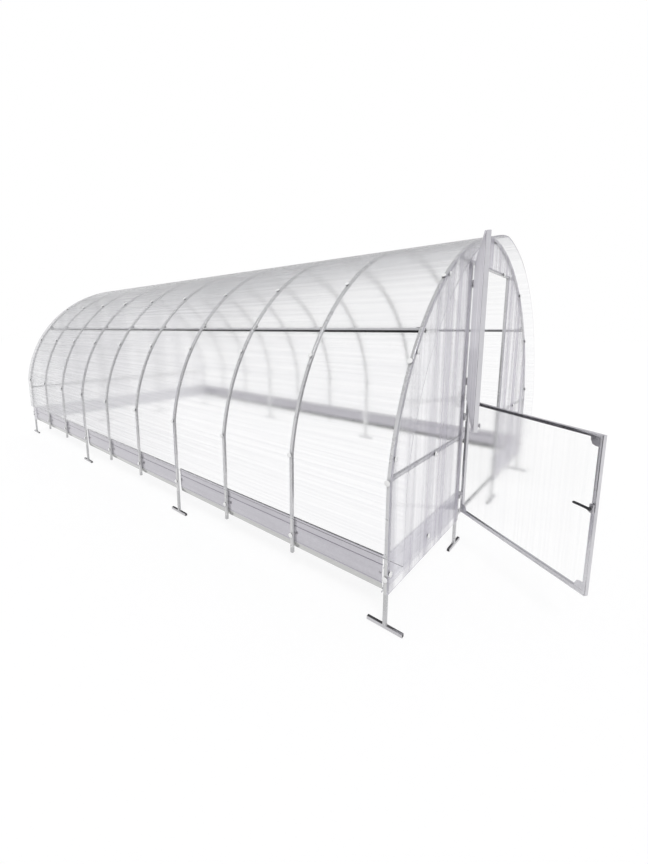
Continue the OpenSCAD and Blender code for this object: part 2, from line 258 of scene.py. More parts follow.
def add(material, kind, settings=None, links=None):
    # Adds a shader node: settings are its properties, socket values or colour stops, and links give a socket
    # the output of another node, or a node for its first output
    tree = material.node_tree
    made = tree.nodes.new("ShaderNode" + kind)
    for key, value in (settings or {}).items():
        if key == "stops":
            setStops(made.color_ramp.elements, value)
        elif isinstance(key, str) and hasattr(made, key) and key not in made.inputs:
            setattr(made, key, value)
        else:
            made.inputs[key].default_value = value
    for key, source in (links or {}).items():
        tree.links.new(source.outputs[0] if isinstance(source, bpy.types.Node) else source, made.inputs[key])
    return made


def fromRange(pair):
    return {"From Min": pair[0], "From Max": pair[1]}


def toRange(pair):
    return {"To Min": pair[0], "To Max": pair[1]}


def newMaterial(name):
    material = bpy.data.materials.new(name)
    material.use_nodes = True
    material.node_tree.nodes.clear()
    return material


def evenly(codes, low=0.0, high=1.0):
    # Colours at equal steps from low to high along a ramp
    return list(zip(np.linspace(low, high, len(codes)), codes))


# Below, spangle, grain and cell are sizes in metres, and clouds, dust, stretch, across and along are counts
# per metre
zinc = {"streakDetail": 5.0, "streakRough": 0.6, "clouds": 3.0, "cloudDetail": 4.0, "cloudShare": 0.45,
        "spread": (0.45, 1.15), "seam": 0.0015, "bumpHeight": 0.0004}


def galvanisedSteel(name, look):
    # Zinc-dipped steel, rolled and then drawn or folded: a dull silver skin with faint spangles, clouds and
    # streaks along the metal, so that its gloss wavers from place to place
    m = newMaterial(name)
    place = add(m, "TexCoord").outputs["Object"]
    spangle = add(m, "TexVoronoi", {"Scale": 1 / look["spangle"]}, {"Vector": place})
    stretch = add(m, "Mapping", {"Scale": look["stretch"]}, {"Vector": place})
    streak = add(m, "TexNoise", {"Scale": 1.0, "Detail": zinc["streakDetail"],
                                 "Roughness": zinc["streakRough"]}, {"Vector": stretch})
    cloud = add(m, "TexNoise", {"Scale": zinc["clouds"], "Detail": zinc["cloudDetail"]}, {"Vector": place})
    grain = add(m, "Math", {"operation": "MULTIPLY_ADD", 1: look["spangleShare"]},
                {0: spangle.outputs["Color"], 2: streak})
    both = add(m, "Math", {"operation": "MULTIPLY_ADD", 1: zinc["cloudShare"]}, {0: cloud, 2: grain})
    spread = add(m, "MapRange", fromRange(zinc["spread"]), {"Value": both})
    colour = add(m, "ValToRGB", {"stops": evenly(look["colours"])}, {"Fac": spread})
    if "split" in look:
        # below a level line the skin differs: painted shade and dark reflection on a purlin's lower half,
        # darker colours on the foot of a leg below the boards, brighter zinc on a board's foot
        level, below = look["split"]
        axes = add(m, "SeparateXYZ", {}, {0: place})
        upper = add(m, "MapRange", fromRange((level - zinc["seam"], level)), {"Value": axes.outputs["Z"]})
        under = add(m, "ValToRGB", {"stops": evenly(below)}, {"Fac": spread})
        colour = add(m, "Mix", {"data_type": "RGBA"}, {0: upper, 6: under, 7: colour}).outputs[2]
    rough = add(m, "MapRange", toRange(look["rough"]), {"Value": spread})
    bump = add(m, "Bump", {"Strength": look["bump"], "Distance": zinc["bumpHeight"]}, {"Height": grain})
    shader = add(m, "BsdfPrincipled", {"Metallic": look["metal"]},
                 {"Base Color": colour, "Roughness": rough, "Normal": bump})
    add(m, "OutputMaterial", {}, {"Surface": shader})
    return m


moulded = {"ior": 1.5, "dust": 9.0, "dustDetail": 4.0, "dustSpan": (0.3, 0.7), "grainDetail": 3.0,
           "bump": 0.25, "bumpHeight": 0.0002}


def mouldedSkin(name, look):
    # Moulded nylon or rubber, or a baked powder coat: one even colour, a fine moulded grain and a little dust
    m = newMaterial(name)
    place = add(m, "TexCoord").outputs["Object"]
    grain = add(m, "TexNoise", {"Scale": 1 / look["grain"], "Detail": moulded["grainDetail"]},
                {"Vector": place})
    dust = add(m, "TexNoise", {"Scale": moulded["dust"], "Detail": moulded["dustDetail"]}, {"Vector": place})
    colour = add(m, "ValToRGB", {"stops": evenly(look["colours"], *moulded["dustSpan"])}, {"Fac": dust})
    rough = add(m, "MapRange", toRange(look["rough"]), {"Value": dust})
    bump = add(m, "Bump", {"Strength": moulded["bump"], "Distance": moulded["bumpHeight"]}, {"Height": grain})
    shader = add(m, "BsdfPrincipled", {"IOR": moulded["ior"]},
                 {"Base Color": colour, "Roughness": rough, "Normal": bump})
    add(m, "OutputMaterial", {}, {"Surface": shader})
    return m


# The webs stand about 6 mm apart but are drawn 12 mm apart, because 6 mm is finer than the render can show.
# The index is under polycarbonate's 1.585, because light crosses thin skins and air, not a solid plate.
twinWall = {"cell": 0.012, "webLine": (0.2, 1.0), "webShare": 0.25, "bump": 0.04, "bumpHeight": 0.0006,
            "across": 46.0, "along": 0.5, "detail": 4.0, "blur": 0.65, "tone": (0.35, 0.90),
            "ior": 1.22, "rough": (0.11, 0.16), "clear": ("ffffff", "fbfbfc"), "tint": "e8e8ea",
            "turns": (0.45, 0.76), "milk": ("e6e6e8", "f0f0f2"), "bands": (0.40, 0.62), "haze": (0.0, 0.03),
            "slant": (0.06, 0.26), "edge": "c9c7cf", "gaps": 0.45, "through": "fbfbfc"}


def clearSheet(name, runs, look=twinWall):
    # Extruded twin-wall polycarbonate: two glossy clear skins with webs between them. It is nearly clear
    # head on, blurs what stands far behind it and shows fine ribs along its length. Seen aslant it has more
    # webs to cross, so it turns a little greyer, and milky in streaks
    m = newMaterial(name)
    place = add(m, "TexCoord").outputs["Object"]
    axes = add(m, "SeparateXYZ", {}, {0: place})
    across, along = axes.outputs["X"], axes.outputs["Z"]
    if runs == "along":
        # distance round the arch: the angle at the rafter's centre times its radius
        out = add(m, "Math", {"operation": "ABSOLUTE"}, {0: across})
        outFar = add(m, "Math", {"operation": "ADD", 1: rafterX}, {0: out})
        up = add(m, "Math", {"operation": "SUBTRACT", 1: rafterZ}, {0: along})
        angle = add(m, "Math", {"operation": "ARCTAN2"}, {0: up, 1: outFar})
        across = add(m, "Math", {"operation": "MULTIPLY", 1: rafterR}, {0: angle})
        along = axes.outputs["Y"]
    elif runs == "leaf":
        # distance from the hinge line
        fromHinge = add(m, "VectorMath", {"operation": "SUBTRACT", 1: hingeSpot}, {0: place})
        flat = add(m, "VectorMath", {"operation": "MULTIPLY", 1: (1, 1, 0)}, {0: fromHinge})
        across = add(m, "VectorMath", {"operation": "LENGTH"}, {0: flat}).outputs["Value"]
    # web lines: a cosine across the sheet, one turn for each cell
    turn = add(m, "Math", {"operation": "MULTIPLY", 1: 2 * pi / look["cell"]}, {0: across})
    wave = add(m, "Math", {"operation": "COSINE"}, {0: turn})
    web = add(m, "MapRange", fromRange(look["webLine"]), {"Value": wave})
    # streaks: noise drawn out along the ribs
    wide = add(m, "Math", {"operation": "MULTIPLY", 1: look["across"]}, {0: across})
    longWay = add(m, "Math", {"operation": "MULTIPLY", 1: look["along"]}, {0: along})
    spot = add(m, "CombineXYZ", {}, {0: wide, 1: longWay})
    streak = add(m, "TexNoise", {"Scale": 1.0, "Detail": look["detail"], "Roughness": look["blur"]},
                 {"Vector": spot})
    mixed = add(m, "Math", {"operation": "MULTIPLY_ADD", 1: look["webShare"]}, {0: web, 2: streak})
    tone = add(m, "MapRange", fromRange(look["tone"]), {"Value": mixed})
    band = add(m, "MapRange", fromRange(look["bands"]), {"Value": streak})
    slant = add(m, "LayerWeight")
    aslant = add(m, "MapRange", {"interpolation_type": "SMOOTHSTEP", **fromRange(look["turns"])},
                 {"Value": slant.outputs["Facing"]})
    headOn = add(m, "ValToRGB", {"stops": evenly(look["clear"])}, {"Fac": tone})
    colour = add(m, "Mix", {"data_type": "RGBA", 7: linear(look["tint"])}, {0: aslant, 6: headOn}).outputs[2]
    rough = add(m, "MapRange", toRange(look["rough"]), {"Value": tone})
    bump = add(m, "Bump", {"Strength": look["bump"], "Distance": look["bumpHeight"]}, {"Height": wave})
    glass = add(m, "BsdfPrincipled", {"Transmission Weight": 1.0, "IOR": look["ior"]},
                {"Base Color": colour, "Roughness": rough, "Normal": bump})
    milk = add(m, "BsdfDiffuse", {"Color": linear(look["milk"][0])})
    milkThrough = add(m, "BsdfTranslucent", {"Color": linear(look["milk"][1])})
    milky = add(m, "MixShader", {}, {1: milk, 2: milkThrough})
    hazeFlat = add(m, "MapRange", toRange(look["haze"]), {"Value": band})
    hazeSlant = add(m, "MapRange", toRange(look["slant"]), {"Value": band})
    haze = add(m, "Math", {"operation": "MULTIPLY_ADD", "use_clamp": True},
               {0: aslant, 1: hazeSlant, 2: hazeFlat})
    sheet = add(m, "MixShader", {}, {"Fac": haze, 1: glass, 2: milky})
    if runs != "leaf":
        # cut edges: the open cells scatter light, so an edge is a pale grey line
        facing = add(m, "NewGeometry").outputs["True Normal"]
        share = add(m, "VectorMath", {"operation": "DOT_PRODUCT", 1: (0, 1, 0)}, {0: facing})
        size = add(m, "Math", {"operation": "ABSOLUTE"}, {0: share.outputs["Value"]})
        onEdge = add(m, "Math", {"operation": "GREATER_THAN" if runs == "along" else "LESS_THAN", 1: 0.5},
                     {0: size})
        cells = add(m, "BsdfDiffuse", {"Color": linear(look["edge"])})
        gaps = add(m, "BsdfTransparent", {"Color": linear(look["through"])})
        edge = add(m, "MixShader", {"Fac": look["gaps"]}, {1: cells, 2: gaps})
        sheet = add(m, "MixShader", {}, {"Fac": onEdge, 1: sheet, 2: edge})
    # light from lamps and from dull surfaces goes straight through
    ray = add(m, "LightPath")
    passing = add(m, "Math", {"operation": "MAXIMUM"},
                  {0: ray.outputs["Is Shadow Ray"], 1: ray.outputs["Is Diffuse Ray"]})
    through = add(m, "BsdfTransparent", {"Color": linear(look["through"])})
    final = add(m, "MixShader", {}, {"Fac": passing, 1: sheet, 2: through})
    add(m, "OutputMaterial", {}, {"Surface": final})
    return m


purlinZ = middle("left_purlin")[2]
# level under which the purlin's colour is painted shade and dark reflection
purlinShadeLine = purlinZ + 0.001
boardBottom = boxOf("left_base_boards")[0][2]
boardFoot = boardBottom + 0.040
tubeLook = {"spangle": 0.009, "spangleShare": 0.10, "stretch": (5, 5, 5), "metal": 0.35,
            "rough": (0.24, 0.32), "bump": 0.03, "colours": ("c7c7c8", "d0d0d1", "d9d9da")}
boardLook = {"spangle": 0.012, "spangleShare": 0.25, "stretch": (30, 1.2, 30), "metal": 0.9,
             "rough": (0.14, 0.24), "bump": 0.06}
tubeSteel = galvanisedSteel("galvanisedTube", tubeLook)
# below a line 1 mm over its middle the purlin is painted near black: painted shade and dark reflection
purlinSteel = galvanisedSteel("galvanisedTubePaintedShadeUnder", {
    **tubeLook, "metal": 0.2, "split": (purlinShadeLine, ("0a0a0b", "0e0e0f"))})
# the arches take a lighter copy of the tube colours, which is painted light; below the boards' lower edge a
# leg's foot has darker colours
archSteel = galvanisedSteel("galvanisedTubePaintedLighter", {
    **tubeLook, "colours": ("cecece", "d7d7d7", "e0e0e0"), "split": (boardBottom, ("bfbfc0", "cdcdce"))})
footSteel = galvanisedSteel("drawnGalvanisedTube", {
    **tubeLook, "metal": 0.9, "colours": ("b9b8bb", "c5c4c7", "d0cfd2")})
leafSteel = galvanisedSteel("brightGalvanisedTube", {
    **tubeLook, "metal": 0.92, "rough": (0.16, 0.24), "colours": ("c4c3c7", "cecdd1", "d9d8dc")})
boardSteel = galvanisedSteel("galvanisedBoard", {
    **boardLook, "colours": ("b9b7bd", "c2c0c6", "cac8ce"), "split": (boardFoot, ("bebebd", "cacac9"))})
# the end boards take a near-white, hardly metallic copy of the board colours: painted light, lighter than the
# side boards of the same sheet steel
endBoardSteel = galvanisedSteel("galvanisedBoardPaintedLight", {
    **boardLook, "stretch": (1.2, 30, 30), "metal": 0.15, "colours": ("f0eff3", "f6f5f8", "fbfbfc")})
boltSteel = galvanisedSteel("zincPlatedSteel", {
    "spangle": 0.004, "spangleShare": 0.1, "stretch": (90, 90, 90), "metal": 0.9, "rough": (0.25, 0.38),
    "bump": 0.05, "colours": ("9a989c", "c9c8cc")})
leverSteel = galvanisedSteel("burnishedSteel", {
    "spangle": 0.003, "spangleShare": 0.1, "stretch": (60, 60, 240), "metal": 0.9, "rough": (0.20, 0.30),
    "bump": 0.03, "colours": ("38383a", "545457")})
blackCoat = mouldedSkin("blackPowderCoat", {
    "grain": 0.0008, "rough": (0.38, 0.55), "colours": ("29292d", "38383d")})
blackRubber = mouldedSkin("blackRubber", {
    "grain": 0.0010, "rough": (0.60, 0.75), "colours": ("151516", "202022")})
whiteNylon = mouldedSkin("whiteNylon", {
    "grain": 0.0012, "rough": (0.30, 0.45), "colours": ("f3f3f2", "fbfbfb")})
coverSheet = clearSheet("twinWallAlong", "along")
wallSheet = clearSheet("twinWallUpright", "upright", {
    **twinWall, "across": 9.0, "along": 0.2, "blur": 0.5, "rough": (0.04, 0.07), "bump": 0.06,
    "tint": "f6f5f8", "milk": ("c1bdc7", "d3d0da"), "haze": (0.0, 0.18), "slant": (0.08, 0.34),
    "edge": "dddbe2"})
leafSheet = clearSheet("twinWallLeaf", "leaf", {
    **twinWall, "clear": ("ffffff", "fefefe"), "bump": 0.02, "milk": ("efecf4", "f8f6fb"),
    "haze": (0.0, 0.02), "slant": (0.45, 0.75)})
for material, nodes in (
        (coverSheet, ("front_cover", "middle_cover", "rear_cover")),
        (wallSheet, ("front_left_sheet", "front_right_sheet", "front_transom_sheet", "rear_end_sheets")),
        (leafSheet, ("lower_leaf_sheet", "upper_leaf_sheet")),
        (blackCoat, ("purlin_clips", "ridge_straps")), (boltSteel, ("door_hinge_pins",))):
    for node in nodes:
        slots = frame["nodes"][node].data.materials
        slots.clear()
        slots.append(material)
print("materials made")

arch = {"steps": 40, "legSteps": 4}


def archPath(bottom, y):
    # Up the left leg, along the left rafter's circle to the ridge, and the same mirrored down the right
    legZ = np.linspace(bottom, house["eaves"], arch["legSteps"])[:-1]
    leg = np.stack([np.full(len(legZ), legSide), legZ], -1)
    curve = rafterPoint(np.linspace(eavesAngle, ridgeAngle, arch["steps"]), 0)
    left = np.concatenate([leg, curve])
    flat = np.concatenate([left, left[::-1][1:] * [-1, 1]])
    return np.stack([flat[:, 0], np.full(len(flat), y), flat[:, 1]], -1)


for number, y in enumerate(archYs, 1):
    node = "arch_%d" % number
    tube = hollowTube(archPath(boxOf(node)[0][2], y), (0, 1, 0))
    putPiece("archTube%d" % number, [tube], archSteel, replaces=[node])
print("arches made")


def cutToArch(rows):
    # Ends of a level tube meet the arch: each end point moves to the arch's inner face at its own height
    limit = tunnelX(rows[..., 2], -half - house["seat"])
    rows[..., 0] = np.clip(rows[..., 0], -limit, limit)
    return rows


def levelBars(node, spans, cut):
    # Tubes across the house at a node's place, one for each span from left to right
    spot = middle(node)
    return [straight((a, spot[1], spot[2]), (b, spot[1], spot[2]), (0, 1, 0), cut) for a, b in spans]


def uprightPost(x, y, low, high):
    return straight((x, y, low[2]), (x, y, high[2]), (0, 1, 0))


purlinR = rafterR - house["tube"] - house["seat"]
purlinAngle = asin((purlinZ - rafterZ) / purlinR)
for sideName, sign in (("left", -1), ("right", 1)):
    node = sideName + "_purlin"
    spot, (low, high) = middle(node), boxOf(node)
    tube = straight((spot[0], low[1], spot[2]), (spot[0], high[1], spot[2]),
                    (sign * cos(purlinAngle), 0, sin(purlinAngle)), points=4)
    putPiece(sideName + "PurlinTube", [tube], purlinSteel, replaces=[node])
    node = sideName + "_ground_feet"
    spot, reach = middle(node), archYs[0] - boxOf(node)[0][1]
    feet = [straight((spot[0], y - reach, spot[2]), (spot[0], y + reach, spot[2]), (0, 0, 1))
            for y in archYs[::house["footedEvery"]]]
    putPiece(sideName + "FootBars", feet, footSteel, replaces=[node])
    node = "front_%s_post" % sideName
    putPiece("front%sPostTube" % sideName.title(), [uprightPost(*middle(node)[:2], *boxOf(node))], tubeSteel,
             replaces=[node])

postX = middle("front_right_post")[0]
footReach = boxOf("post_ground_feet")[1][0] - postX
ends = [(sign * postX, y) for sign in (-1, 1) for y in (frontY, rearY)]
feet = [straight((x - footReach, y, half), (x + footReach, y, half), (0, 0, 1)) for x, y in ends]
putPiece("postFootBars", feet, footSteel, replaces=["post_ground_feet"])
posts = [uprightPost(sign * postX, rearY, *boxOf("rear_posts")) for sign in (-1, 1)]
putPiece("rearPostTubes", posts, tubeSteel, replaces=["rear_posts"])
wallEnd = boxOf("rear_crossbar")[1][0]
between = (-postX + half, postX - half)
sideSpans = [(-wallEnd, -postX - half), (postX + half, wallEnd)]
for name, node, spans, cut in (
        ("frontLintelTube", "front_lintel", [[corner[0] for corner in boxOf("front_lintel")]], cutToArch),
        ("rearLintelTube", "rear_lintel", [[corner[0] for corner in boxOf("rear_lintel")]], cutToArch),
        ("thresholdTube", "door_threshold", [between], None),
        ("frontCrossbarTubes", "front_crossbars", sideSpans, cutToArch),
        ("rearCrossbarTubes", "rear_crossbar", sideSpans + [between], cutToArch)):
    putPiece(name, levelBars(node, spans, cut), tubeSteel, replaces=[node])
print("frame tubes made")

board = {"thick": 0.0012, "flange": 0.0115, "hem": 0.009, "grooves": (0.055, 0.156), "grooveWide": 0.009,
         "grooveDeep": 0.006, "lowerDepth": 0.6, "upperWidth": 0.7, "fold": 0.0016, "lean": 0.008}
boardLow, boardHigh = boxOf("left_base_boards")
boardTop, boardFace = boardHigh[2], -boardLow[0]


def softened(line, radius, steps=4, most=0.45):
    # Each inner corner becomes a short curve: its neighbours and itself blended in squares of t and 1 - t.
    # A curve takes at most that share of a side, so that two never meet
    line = np.array(line)
    before, after = line[1:-1] - line[:-2], line[2:] - line[1:-1]
    shortest = np.minimum(np.linalg.norm(before, axis=1), np.linalg.norm(after, axis=1))[:, None]
    reach = np.minimum(radius, shortest * most)
    start, end = line[1:-1] - unit(before) * reach, line[1:-1] + unit(after) * reach
    t = np.linspace(0, 1, steps)[None, :, None]
    curve = (1 - t) ** 2 * start[:, None] + 2 * t * (1 - t) * line[1:-1][:, None] + t ** 2 * end[:, None]
    return np.concatenate([line[:1], curve.reshape(-1, 2), line[-1:]])


def foldedStrip(line, thick, spans, toPlace):
    # A folded sheet: the line set off both ways along its normal by half the thickness, drawn over each span
    before, after = stepsAt(line)
    tangent = unit(before + after)
    normal = np.stack([-tangent[:, 1], tangent[:, 0]], -1) * thick / 2
    ring = np.concatenate([line + normal, (line - normal)[::-1]])
    count = len(line)
    k = np.arange(count - 1)
    cap = np.stack([k, k + 1, 2 * count - 2 - k, 2 * count - 1 - k], -1)
    faces = np.concatenate([gridFaces(2, 2 * count, False, True), cap, cap[:, ::-1] + 2 * count])
    shapes = []
    for start, end in spans:
        points = np.stack([toPlace(ring, start), toPlace(ring, end)]).reshape(-1, 3)
        shapes.append((points, turnedOut(points, faces)))
    return shapes


def boardLine():
    # Distance in from the face, and height: hem and flange, two pressed grooves, and a foot that leans in
    wide, deep, t = board["grooveWide"] / 2, board["grooveDeep"], board["thick"] / 2
    upper, lower = (boardTop - groove for groove in board["grooves"])
    upperWide = wide * board["upperWidth"]
    line = [(board["flange"], boardBottom + board["hem"]), (board["flange"], boardBottom + t),
            (t + board["lean"], boardBottom + t), (t, lower - wide), (t + deep * board["lowerDepth"], lower),
            (t, lower + wide), (t, upper - upperWide), (t + deep, upper), (t, upper + upperWide),
            (t, boardTop - t), (board["flange"], boardTop - t), (board["flange"], boardTop - board["hem"])]
    return softened(line, board["fold"])


section = boardLine()
boardGap = boardLow[1] - archYs[0]
every = house["footedEvery"]
spans = [(a + boardGap, b - boardGap) for a, b in zip(archYs[:-1:every], archYs[every::every])]
for sideName, sign in (("left", -1), ("right", 1)):
    made = foldedStrip(section, board["thick"], spans, lambda ring, y: np.stack(
        [sign * (boardFace - ring[:, 0]), np.full(len(ring), y), ring[:, 1]], -1))
    putPiece(sideName + "Boards", made, boardSteel, replaces=[sideName + "_base_boards"],
             sharp=50)
for name, node, sign in (("frontLeftBoard", "front_left_base_board", 1),
                         ("frontRightBoard", "front_right_base_board", 1),
                         ("rearBoard", "rear_base_board", -1)):
    low, high = boxOf(node)
    face = low[1] if sign > 0 else high[1]
    made = foldedStrip(section, board["thick"], [(low[0], high[0])], lambda ring, x: np.stack(
        [np.full(len(ring), x), face + sign * ring[:, 0], ring[:, 1]], -1))
    putPiece(name, made, endBoardSteel, replaces=[node], sharp=50)
print("boards made")

leaf = {"gap": 0.005, "inset": 0.120, "plate": 0.003, "gusset": 0.040, "gussetRound": 0.003, "tucked": 0.001,
        "notch": [(1, 0), (1, 0.42), (0.86, 0.56), (0.80, 0.84), (0.56, 0.90), (0.42, 1), (0, 1)],
        "pin": 0.0035, "play": 0.0003, "barrel": 0.007, "barrelHigh": 0.0245, "bevel": 0.0007,
        "arm": 0.015, "armFrom": 0.75, "armThick": 0.0055, "armLow": 0.0005, "out": 0.008}
stileX = -hingeSpot[0] - leaf["gap"] - half


def swungOpen(shapes, body):
    # Turns shapes about the hinge line, clockwise from above by the angle at which the leaf stands open
    a = -radians(opens[body])
    turned = []
    for points, faces in shapes:
        x, y, z = (points - hingeSpot).T
        swung = np.stack([x * cos(a) - y * sin(a), x * sin(a) + y * cos(a), z], -1)
        turned.append((swung + hingeSpot, faces))
    return turned


def gussetPlate(cornerX, cornerZ, toX, toZ, y):
    # Corner plate with a notched round edge: the notch gives shares of its size along the rail and the stile
    edge = softened(np.array(leaf["notch"]) * leaf["gusset"], leaf["gussetRound"], 3)
    edge[0, 1], edge[-1, 0] = -leaf["tucked"], -leaf["tucked"]
    back = np.full_like(edge, -leaf["tucked"])
    front, rear = y - leaf["plate"] / 2, y + leaf["plate"] / 2
    points = np.concatenate([
        np.stack([cornerX + toX * line[:, 0], np.full(len(line), depth), cornerZ + toZ * line[:, 1]], -1)
        for line, depth in ((edge, front), (back, front), (back, rear), (edge, rear))])
    return points, turnedOut(points, gridFaces(4, len(edge), True, False))


def leafPiece(body):
    # Shut frame of four tubes with its gussets and hinge barrels, swung open
    sheetLow, sheetHigh = boxOf(body + "_sheet")
    z0, z1 = sheetLow[2], sheetHigh[2]
    corners = [(sign * stileX, frontY, z) for sign, z in
               ((-1, z0 + half), (1, z0 + half), (1, z1 - half), (-1, z1 - half))]
    shapes = [loopTube(corners, (0, 1, 0), roundedSquare(house["tube"], house["corner"]))]
    for toX in (-1, 1):
        for z, toZ in ((z0 + 2 * half, 1), (z1 - 2 * half, -1)):
            shapes.append(gussetPlate(-toX * (stileX - half), z, toX, toZ, frontY - half + leaf["plate"]))
    inside, outside = leaf["pin"] + leaf["play"], leaf["barrel"]
    high, bevel = leaf["barrelHigh"], leaf["bevel"]
    barrel = [(inside, 0), (outside - bevel, 0), (outside, bevel), (outside, high - bevel),
              (outside - bevel, high), (inside, high)]
    points, faces = lathe(barrel, roundSteps)
    for z in (z0 + leaf["inset"] + leaf["armLow"], z1 - leaf["inset"] + leaf["armLow"]):
        shapes.append((points + hingeSpot + [0, 0, z], faces))
        shapes.append(block(hingeSpot + [outside * leaf["armFrom"], leaf["out"] - leaf["armThick"], z],
                            hingeSpot + [leaf["arm"], leaf["out"], z + high]))
    putPiece(body[:5] + "LeafTubes", swungOpen(shapes, body), leafSteel, body=body,
             replaces=[body + "_frame"])


for body in ("lower_leaf", "upper_leaf"):
    leafPiece(body)
print("door leaves made")

lever = {"long": 0.085, "thick": 0.012, "tip": 0.0115, "tipShare": 0.07, "tipFrom": 0.2, "blunt": 0.0005,
         "steps": (10, 7), "round": 0.3, "bow": 0.0015, "lift": 0.725, "out": 0.0436,
         "boss": 0.009, "bossBack": 0.9, "bossFront": 0.85, "bevel": 0.001, "frontBevel": 0.0015,
         "crown": 0.0004, "spindle": 0.005}
case = {"wide": 0.020, "high": 0.044, "deep": 0.010, "edge": 0.0016, "play": 0.0004, "rose": 0.0088,
        "roseFront": 0.0076, "roseSide": 0.0018, "roseOut": 0.0028}
sheetFace = frontY - half - house["seat"] - house["sheet"]


def leverBar():
    # Bar that tapers to a round tip: a rounded square section carried from the boss to the tip, its size
    # falling from thick to tip and then almost to nought as the square root of the length left
    end, (steps, tipSteps) = lever["tipShare"], lever["steps"]
    tip = 1 - end * (1 - np.linspace(lever["tipFrom"], 1, tipSteps)) ** 2
    t = np.concatenate([np.linspace(0, 1 - end, steps), tip])
    size = lever["thick"] + (lever["tip"] - lever["thick"]) * t
    size *= np.sqrt(np.minimum((1 + lever["blunt"] - t) / end, 1))
    ring = roundedSquare(1.0, lever["round"])
    x = stileX - t * lever["long"]
    y = frontY - lever["out"] + lever["thick"] / 2 + lever["bow"] * np.sin(t * pi)
    rows = np.stack([np.broadcast_to(x[:, None], (len(t), len(ring))),
                     y[:, None] + size[:, None] * ring[None, :, 0],
                     lever["lift"] + size[:, None] * ring[None, :, 1]], -1)
    start = np.broadcast_to(rows[:1].mean(1, keepdims=True), rows[:1].shape)
    return closedGrid(np.concatenate([start, rows]))


def turnedOutwards(profile, x, y, z, way=-1):
    # A turned shape that stands out of the leaf's outer face, or with way 1 out of its inner face
    return scattered(lathe(profile, roundSteps), [(x, y, z)], [(0, way, 0)], (0, 0, 1))


boss, bossDeep = lever["boss"], lever["thick"]
bossProfile = [(axisHole, 0), (boss * lever["bossBack"], 0), (boss, lever["bevel"]),
               (boss, bossDeep - lever["frontBevel"]), (boss * lever["bossFront"], bossDeep),
               (axisHole, bossDeep + lever["crown"])]
spindle, spindleLong = lever["spindle"], lever["out"] + half - lever["bevel"]
spindleProfile = [(axisHole, 0), (spindle, 0), (spindle, spindleLong), (axisHole, spindleLong)]
handle = [leverBar(), turnedOutwards(bossProfile, stileX, frontY - lever["out"] + bossDeep, lever["lift"]),
          turnedOutwards(spindleProfile, stileX, frontY + half, lever["lift"])]
putPiece("leverHandle", swungOpen(handle, "lower_leaf"), leverSteel, body="handle",
         replaces=["lever_handle"])
caseBack = sheetFace - house["seat"]
caseLow = (stileX - case["wide"] / 2, caseBack - case["deep"], lever["lift"] - case["high"] / 2)
caseHigh = (stileX + case["wide"] / 2, caseBack, lever["lift"] + case["high"] / 2)
hole = spindle + case["play"]
rose = [(hole, 0), (case["rose"], 0), (case["rose"], case["roseSide"]), (case["roseFront"], case["roseOut"]),
        (hole, case["roseOut"])]
caseParts = [block(caseLow, caseHigh, case["edge"]),
             turnedOutwards(rose, stileX, caseBack - case["deep"], lever["lift"])]
putPiece("latchCase", swungOpen(caseParts, "lower_leaf"), boltSteel, body="lower_leaf",
         replaces=["latch_case"])

# rings of the knob: share of its radius or of its neck's, and distance out of the stile
knob = {"radius": 0.011, "neck": 0.0055, "up": 0.032,
        "foot": [(1.5, 0), (1.4, 0.0008), (1, 0.0020), (1, 0.0038)],
        "head": [(0.85, 0.0050), (1, 0.0064), (1, 0.0080), (0.85, 0.0093), (0.5, 0.0098)], "out": 0.010}
knobZ = boxOf("upper_leaf_sheet")[0][2] + knob["up"]
knobProfile = [(axisHole, 0)] + [(knob["neck"] * share, out) for share, out in knob["foot"]] \
    + [(knob["radius"] * share, out) for share, out in knob["head"]] + [(axisHole, knob["out"])]
pull = turnedOutwards(knobProfile, stileX, frontY + half, knobZ, 1)
putPiece("pullKnob", swungOpen([pull], "upper_leaf"), boltSteel, body="upper_leaf",
         replaces=["pull_knob"], sharp=40)
print("door furniture made")

washer = {"radius": 0.0155, "thick": 0.0075, "dome": 0.0022, "rim": 0.003, "back": 0.94, "bevel": 0.0008,
          "brow": 0.5, "browLow": 0.0006, "dimple": 0.0034, "dimpleFloor": 0.8, "dimpleDeep": 0.002,
          "seal": 0.0115, "sealHigh": 0.0055, "sealBulge": 1.06, "steps": 20,
          "low": 0.285, "high": 0.811, "rafters": (1.395, 1.853), "turn": (0.1, 0.35, 1)}
wall = {"arch": (0.318, 0.93, 1.45, 1.88), "bar": 0.97, "foot": 1.02, "overDoor": 0.28}


def washerCap():
    # Closed profile of radius and height: flat back, rounded rim, low dome and a dimple over the screw
    base, top = washer["sealHigh"], washer["sealHigh"] + washer["thick"]
    r, rim, dimple, low = washer["radius"], washer["rim"], washer["dimple"], washer["browLow"]
    floor = top - washer["dimpleDeep"]
    t = np.linspace(0, pi / 2, 5)
    edge = np.stack([r - rim + rim * np.cos(t), top - washer["dome"] - rim + rim * np.sin(t)], -1)
    return np.concatenate([[[axisHole, base], [r * washer["back"], base], [r, base + washer["bevel"]]], edge,
                           [[r * washer["brow"], top - low], [dimple + low, top], [dimple, top - low],
                            [dimple * washer["dimpleFloor"], floor], [axisHole, floor]]])


